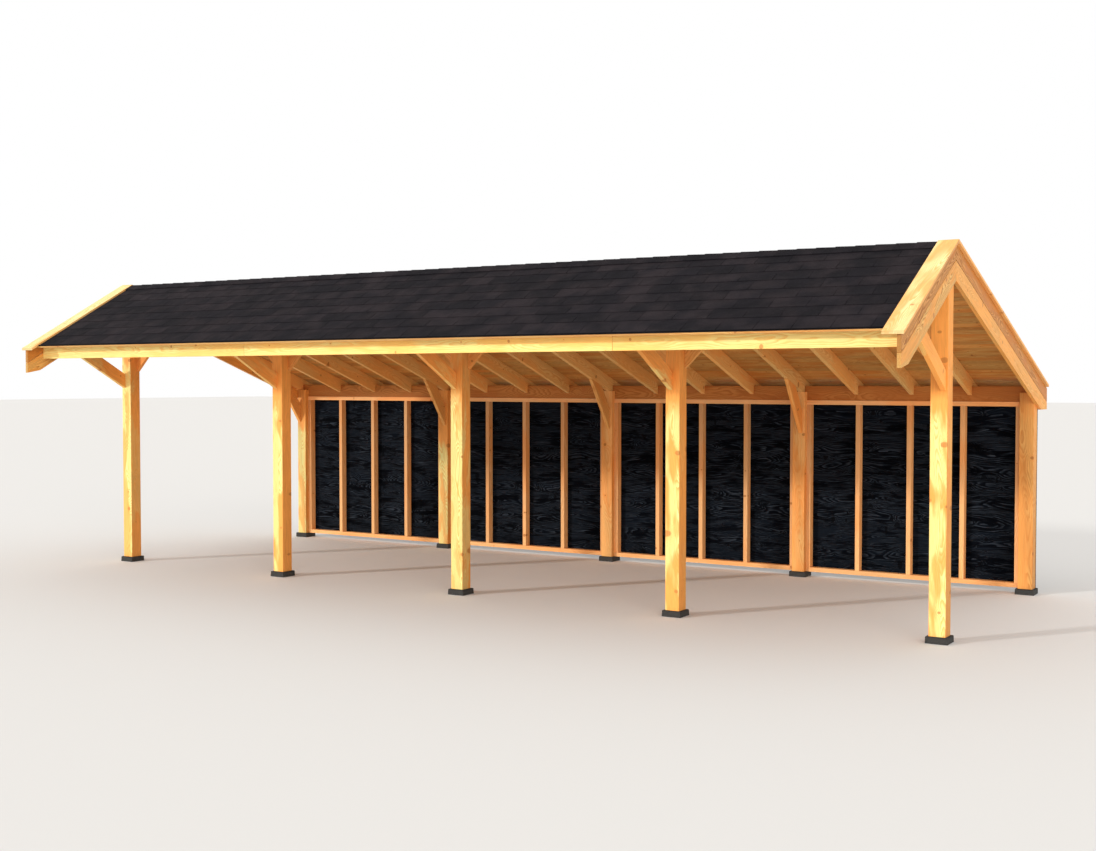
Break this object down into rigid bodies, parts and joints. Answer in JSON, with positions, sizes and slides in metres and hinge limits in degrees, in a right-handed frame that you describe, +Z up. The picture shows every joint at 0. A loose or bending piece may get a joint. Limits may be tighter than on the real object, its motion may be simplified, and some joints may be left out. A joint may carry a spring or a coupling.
{
  "type": "open-fronted barn",
  "caption": "Open-fronted timber barn with square posts on base blocks, braces, an uneven shingled gable roof and a black boarded back wall.",
  "frame": {"origin": "ground level, in the middle of the barn's whole footprint", "axes": "+X along the ridge to the right seen from the open front, +Y towards the closed back wall, +Z up"},
  "size_m": [10.48, 5.058, 3.4773],
  "materials": {
    "timber": "sawn softwood",
    "planed_boards": "planed softwood",
    "roof_lining": "planed softwood",
    "studs": "sawn softwood",
    "black_boards": "black stain",
    "shingles": "mineral granules",
    "concrete": "cast, dark grey"
  },
  "bodies": {
    "root": {"base_blocks": "concrete", "front_post_1": "timber", "front_post_2": "timber", "front_post_3": "timber", "front_post_4": "timber", "front_post_5": "timber", "back_post_1": "timber", "back_post_2": "timber", "back_post_3": "timber", "back_post_4": "timber", "back_post_5": "timber", "ridge_beam": "timber", "wall_plate": "timber", "front_brace_1": "timber", "front_brace_2": "timber", "front_brace_3": "timber", "front_brace_4": "timber", "front_brace_5": "timber", "back_brace_1": "timber", "back_brace_2": "timber", "back_brace_3": "timber", "back_brace_4": "timber", "ridge_braces": "timber", "front_rafters": "timber", "back_rafters": "timber", "front_roof_boards": "roof_lining", "back_roof_boards": "roof_lining", "front_shingles": "shingles", "back_shingles": "shingles", "ridge_cap": "shingles", "front_fascia": "planed_boards", "back_fascia": "planed_boards", "front_upper_bargeboards": "planed_boards", "front_lower_bargeboards": "planed_boards", "back_upper_bargeboards": "planed_boards", "back_lower_bargeboards": "planed_boards", "front_verge_caps": "planed_boards", "back_verge_caps": "planed_boards", "wall_rails": "studs", "wall_studs_1": "studs", "wall_studs_2": "studs", "wall_studs_3": "studs", "wall_studs_4": "studs", "wall_boards": "black_boards"}
  },
  "joints": []
}
